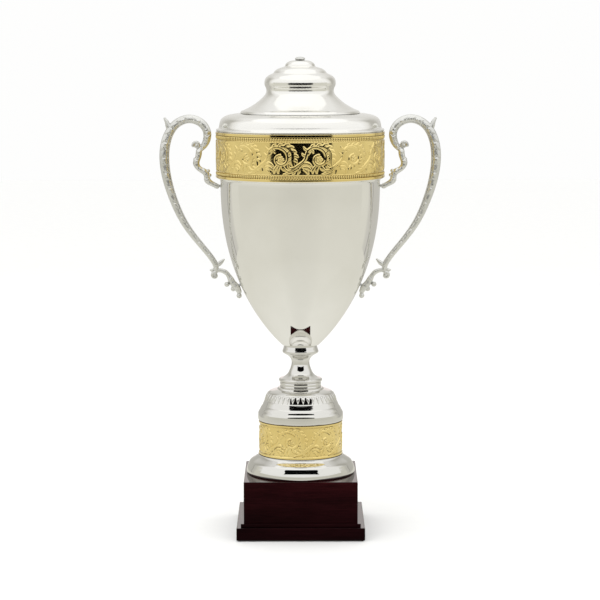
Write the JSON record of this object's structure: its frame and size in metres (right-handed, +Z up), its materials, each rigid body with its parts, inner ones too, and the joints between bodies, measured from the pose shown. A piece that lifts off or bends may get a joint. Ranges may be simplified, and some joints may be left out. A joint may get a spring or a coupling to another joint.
{
  "type": "cup trophy",
  "caption": "Lidded two-handled metal cup on a turned stem and domed plinth, over a two-tier square wooden base.",
  "frame": {"origin": "centre of the square base's underside, on the cup's axis", "axes": "+Z up along the cup's axis, handles along X, plain front face of the base towards -Y"},
  "size_m": [0.313, 0.1878, 0.5309],
  "materials": {
    "silver_plate": "polished",
    "gold_plate": "embossed, polished",
    "wood": "high gloss lacquer",
    "steel": "zinc plated",
    "felt": "felt"
  },
  "bodies": {
    "cup": {"base_felt": "felt", "base_tier": "wood", "base_block": "wood", "base_screws": "steel", "rod_washer_low": "steel", "rod_nut_low": "steel", "tie_rod": "steel", "foot_ring": "silver_plate", "plinth_drum": "silver_plate", "plinth_band": "gold_plate", "plinth_dome": "silver_plate", "stem": "silver_plate", "bowl": "silver_plate", "rod_washer_top": "steel", "rod_nut_top": "steel", "rim_band": "gold_plate", "handle_left": "silver_plate", "handle_right": "silver_plate", "handle_screws": "steel", "handle_washers": "steel"},
    "lid": {"lid_shell": "silver_plate", "lid_ring": "silver_plate", "lid_dome": "silver_plate", "finial": "silver_plate", "finial_washer": "steel", "finial_nut": "steel"}
  },
  "joints": [
    {"name": "lid_lift", "type": "slide", "parent": "cup", "child": "lid", "axis": [0, 0, 1], "range_m": [0, 0.12]}
  ]
}
